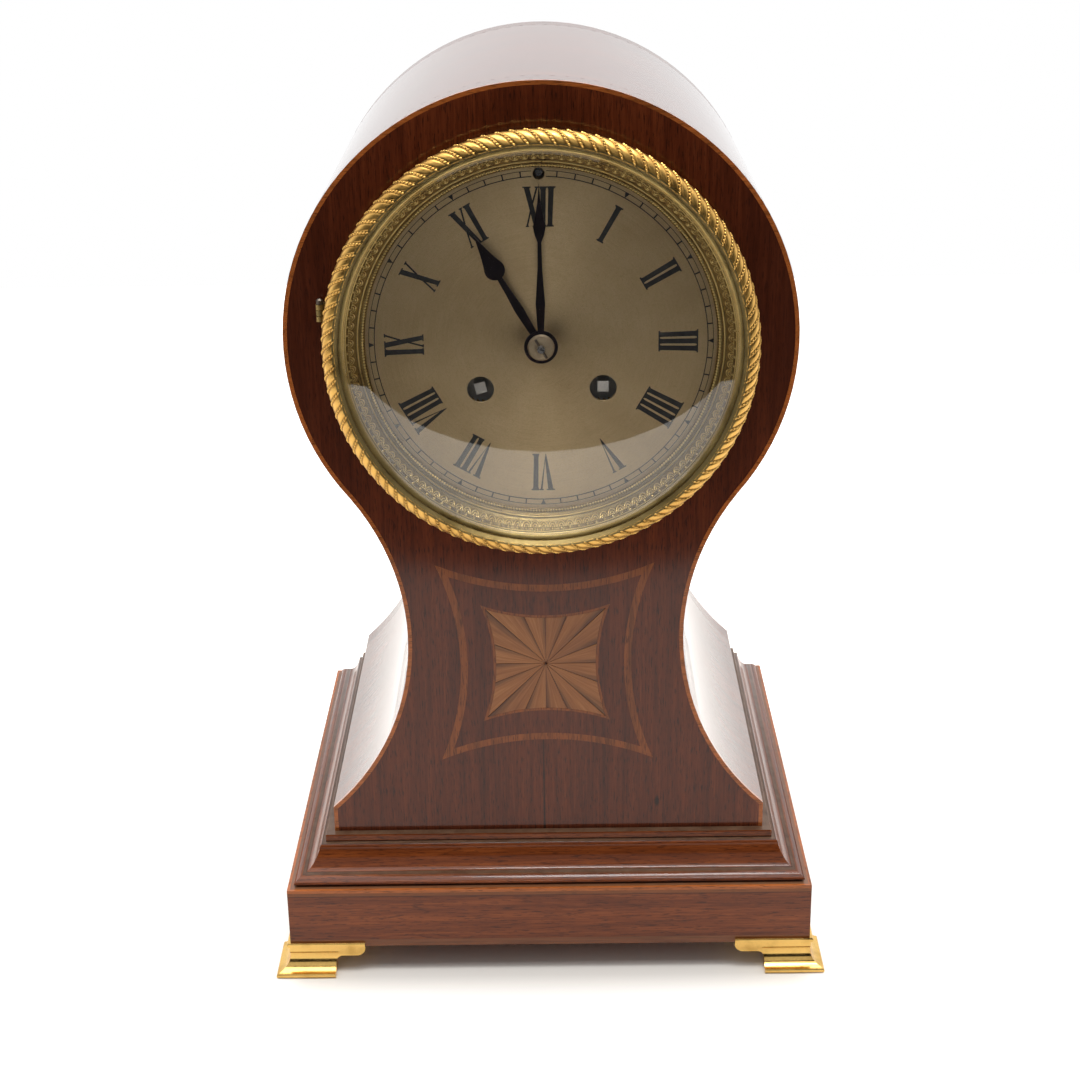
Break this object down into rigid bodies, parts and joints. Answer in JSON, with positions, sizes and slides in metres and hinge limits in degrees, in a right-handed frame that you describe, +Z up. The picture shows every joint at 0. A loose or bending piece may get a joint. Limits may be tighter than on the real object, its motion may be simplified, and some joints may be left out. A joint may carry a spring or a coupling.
{
  "type": "balloon mantel clock",
  "caption": "Balloon mantel clock in polished mahogany with fan inlay, rope-edged brass bezel, silvered Roman dial, bracket feet and a striking pendulum movement",
  "frame": {"origin": "centre of the footprint of the four feet, on the table", "axes": "+Z up, -Y towards the viewer of the dial, +X to the viewer's right"},
  "size_m": [0.1944, 0.188, 0.3098],
  "materials": {
    "mahogany": "French-polished",
    "boxwood": "polished",
    "foot_brass": "polished",
    "gilt": "gilt",
    "silvered": "matt silvered",
    "glass": "clear",
    "blued_steel": "blued",
    "steel": "bright",
    "movement_brass": "satin",
    "bell_metal": "satin"
  },
  "bodies": {
    "case": {"front_panel": "mahogany", "back_panel": "mahogany", "side_band": "mahogany", "stringing": "boxwood", "inlay_lines": "boxwood", "inlay_fan": "boxwood", "base_moulding": "mahogany", "plinth": "mahogany", "foot_front_left": "foot_brass", "foot_front_right": "foot_brass", "foot_back_left": "foot_brass", "foot_back_right": "foot_brass", "foot_screws": "steel", "dial_ring": "gilt", "dial": "silvered", "hinge_pins": "steel", "rear_ring": "foot_brass", "straps": "movement_brass", "strap_screws": "steel", "front_plate": "movement_brass", "back_plate": "movement_brass", "pillars": "movement_brass", "clicks": "steel", "back_cock": "movement_brass", "bell": "bell_metal", "bell_stand": "steel"},
    "front_bezel": {"bezel": "gilt", "bezel_rope": "gilt", "sight_ring": "gilt", "bezel_glass": "glass"},
    "rear_door": {"rear_door": "foot_brass"},
    "minute_hand": {"minute_hand": "blued_steel", "cannon_pinion": "movement_brass"},
    "hour_hand": {"hour_hand": "blued_steel", "hour_wheel": "movement_brass"},
    "minute_wheel": {"minute_wheel": "movement_brass"},
    "third_wheel": {"third_wheel": "movement_brass"},
    "escape_wheel": {"escape_wheel": "movement_brass"},
    "centre_wheel": {"centre_wheel": "movement_brass", "hand_collet": "silvered", "hand_pin": "steel"},
    "second_wheel": {"second_wheel": "movement_brass"},
    "going_barrel": {"going_barrel": "movement_brass", "going_spring": "steel"},
    "going_arbor": {"going_arbor": "steel"},
    "pendulum": {"pendulum_rod": "steel", "pendulum_bob": "movement_brass", "rating_nut": "movement_brass"},
    "pallets": {"pallets": "steel"},
    "warn_wheel": {"warn_wheel": "movement_brass"},
    "fly": {"fly": "movement_brass"},
    "lock_wheel": {"lock_wheel": "movement_brass"},
    "pin_wheel": {"pin_wheel": "movement_brass"},
    "strike_second": {"strike_second": "movement_brass"},
    "strike_barrel": {"strike_barrel": "movement_brass", "strike_spring": "steel"},
    "strike_arbor": {"strike_arbor": "steel"},
    "hammer": {"hammer": "steel"},
    "regulating_arbor": {"regulating_arbor": "steel"}
  },
  "joints": [
    {"name": "bezel_hinge", "type": "hinge", "parent": "case", "child": "front_bezel", "pos_m": [-0.07005, -0.076, 0.2385], "axis": [0, 0, -1], "range_deg": [0, 110]},
    {"name": "rear_door_hinge", "type": "hinge", "parent": "case", "child": "rear_door", "pos_m": [0.068, 0.0759, 0.2268], "axis": [0, 0, -1], "range_deg": [0, 110]},
    {"name": "minute_turn", "type": "hinge", "parent": "case", "child": "minute_hand", "pos_m": [0, -0.073, 0.2268], "axis": [0, 1, 0], "continuous": true},
    {"name": "hour_turn", "type": "hinge", "parent": "case", "child": "hour_hand", "pos_m": [0, -0.073, 0.2268], "axis": [0, 1, 0], "continuous": true},
    {"name": "minute_wheel_turn", "type": "hinge", "parent": "case", "child": "minute_wheel", "pos_m": [0.00831, -0.065, 0.2316], "axis": [0, 1, 0], "continuous": true},
    {"name": "third_turn", "type": "hinge", "parent": "case", "child": "third_wheel", "pos_m": [-0.00595, -0.043, 0.23894], "axis": [0, 1, 0], "continuous": true},
    {"name": "escape_turn", "type": "hinge", "parent": "case", "child": "escape_wheel", "pos_m": [0, -0.043, 0.2488], "axis": [0, 1, 0], "continuous": true},
    {"name": "centre_turn", "type": "hinge", "parent": "case", "child": "centre_wheel", "pos_m": [0, -0.043, 0.2268], "axis": [0, 1, 0], "continuous": true},
    {"name": "second_turn", "type": "hinge", "parent": "case", "child": "second_wheel", "pos_m": [0.01376, -0.043, 0.23106], "axis": [0, 1, 0], "continuous": true},
    {"name": "going_barrel_turn", "type": "hinge", "parent": "case", "child": "going_barrel", "pos_m": [0.01985, -0.043, 0.2114], "axis": [0, 1, 0], "continuous": true},
    {"name": "going_winding", "type": "hinge", "parent": "case", "child": "going_arbor", "pos_m": [0.01985, -0.061, 0.2114], "axis": [0, 1, 0], "continuous": true},
    {"name": "pendulum_swing", "type": "hinge", "parent": "case", "child": "pendulum", "pos_m": [0, -0.014, 0.2608], "axis": [0, 1, 0], "range_deg": [-4, 4]},
    {"name": "pallets_rock", "type": "hinge", "parent": "case", "child": "pallets", "pos_m": [0, -0.023, 0.2608], "axis": [0, 1, 0], "range_deg": [-4, 4]},
    {"name": "warn_turn", "type": "hinge", "parent": "case", "child": "warn_wheel", "pos_m": [-0.01159, -0.043, 0.25937], "axis": [0, 1, 0], "continuous": true},
    {"name": "fly_turn", "type": "hinge", "parent": "case", "child": "fly", "pos_m": [-0.01828, -0.043, 0.25879], "axis": [0, 1, 0], "continuous": true},
    {"name": "lock_turn", "type": "hinge", "parent": "case", "child": "lock_wheel", "pos_m": [-0.01374, -0.043, 0.25134], "axis": [0, 1, 0], "continuous": true},
    {"name": "pin_turn", "type": "hinge", "parent": "case", "child": "pin_wheel", "pos_m": [-0.02103, -0.043, 0.24522], "axis": [0, 1, 0], "continuous": true},
    {"name": "strike_second_turn", "type": "hinge", "parent": "case", "child": "strike_second", "pos_m": [-0.02342, -0.043, 0.23167], "axis": [0, 1, 0], "continuous": true},
    {"name": "strike_barrel_turn", "type": "hinge", "parent": "case", "child": "strike_barrel", "pos_m": [-0.01985, -0.043, 0.2114], "axis": [0, 1, 0], "continuous": true},
    {"name": "strike_winding", "type": "hinge", "parent": "case", "child": "strike_arbor", "pos_m": [-0.01985, -0.061, 0.2114], "axis": [0, 1, 0], "continuous": true},
    {"name": "hammer_swing", "type": "hinge", "parent": "case", "child": "hammer", "pos_m": [-0.0305, -0.023, 0.2548], "axis": [0, 1, 0], "range_deg": [0, 10]},
    {"name": "regulator_turn", "type": "hinge", "parent": "case", "child": "regulating_arbor", "pos_m": [0, -0.043, 0.2811], "axis": [0, 1, 0], "continuous": true}
  ],
  "couplings": [
    {"joint": "hour_turn", "follows": "minute_turn", "ratio": 0.083333},
    {"joint": "minute_wheel_turn", "follows": "minute_turn", "ratio": -0.33333},
    {"joint": "escape_turn", "follows": "third_turn", "ratio": -11},
    {"joint": "centre_turn", "follows": "third_turn", "ratio": -0.083333},
    {"joint": "second_turn", "follows": "third_turn", "ratio": 0.010417},
    {"joint": "going_barrel_turn", "follows": "third_turn", "ratio": -0.0017361},
    {"joint": "pallets_rock", "follows": "pendulum_swing", "ratio": 1},
    {"joint": "fly_turn", "follows": "warn_turn", "ratio": -6},
    {"joint": "lock_turn", "follows": "warn_turn", "ratio": -0.14286},
    {"joint": "pin_turn", "follows": "warn_turn", "ratio": 0.019048},
    {"joint": "strike_second_turn", "follows": "warn_turn", "ratio": -0.0019536},
    {"joint": "strike_barrel_turn", "follows": "warn_turn", "ratio": 0.0003256}
  ]
}
